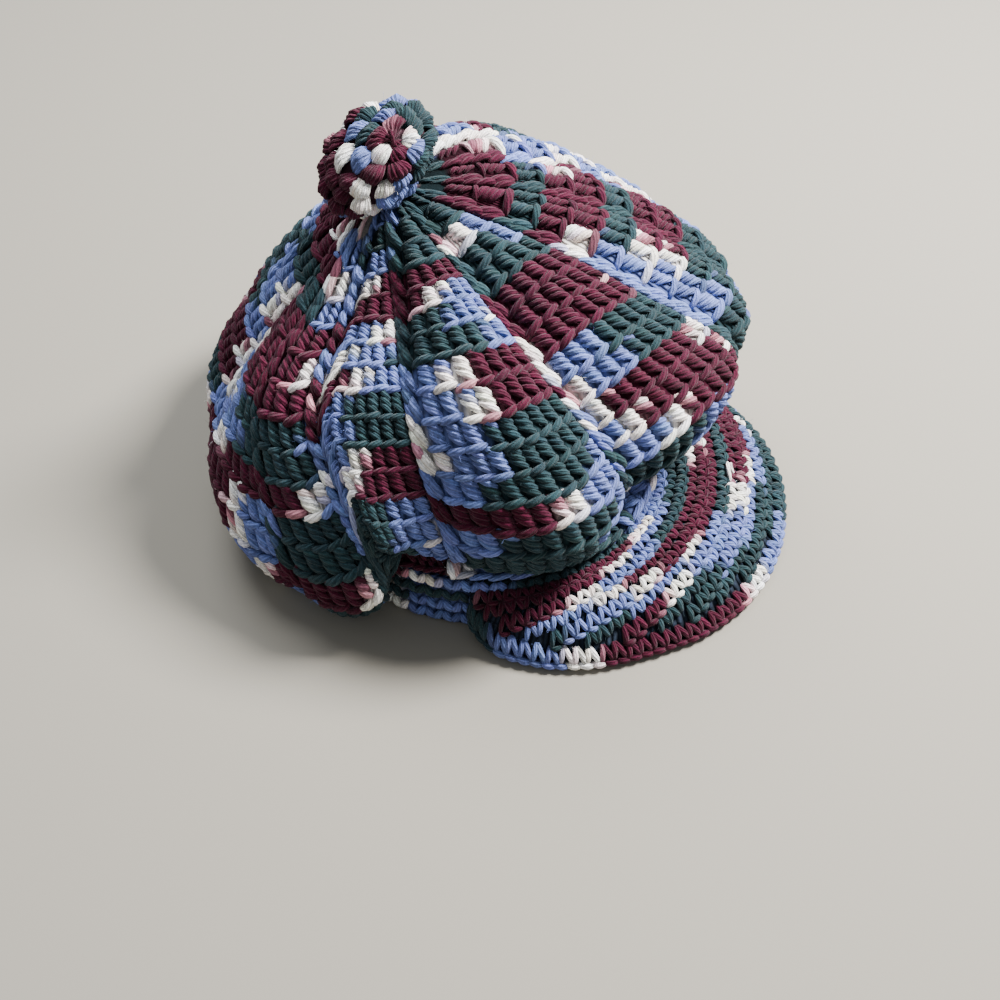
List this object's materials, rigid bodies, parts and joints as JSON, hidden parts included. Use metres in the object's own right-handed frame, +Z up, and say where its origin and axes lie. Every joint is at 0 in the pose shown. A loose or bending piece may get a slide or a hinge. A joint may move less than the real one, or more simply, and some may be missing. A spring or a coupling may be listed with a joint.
{
  "type": "crocheted newsboy cap",
  "caption": "Soft crocheted newsboy cap with a full ribbed crown, a low head band, a curved peak and a covered button on top.",
  "frame": {"origin": "middle of the cap's footprint box, on the surface that it rests on", "axes": "+Z up, -Y towards the peak, +X to the side where the crown is fullest"},
  "size_m": [0.2612, 0.3072, 0.1897],
  "materials": {
    "crown_yarn": "matte",
    "band_yarn": "matte",
    "peak_yarn": "matte",
    "button_yarn": "matte"
  },
  "bodies": {
    "root": {"crown": "crown_yarn", "band": "band_yarn", "peak": "peak_yarn", "button": "button_yarn"}
  },
  "joints": []
}
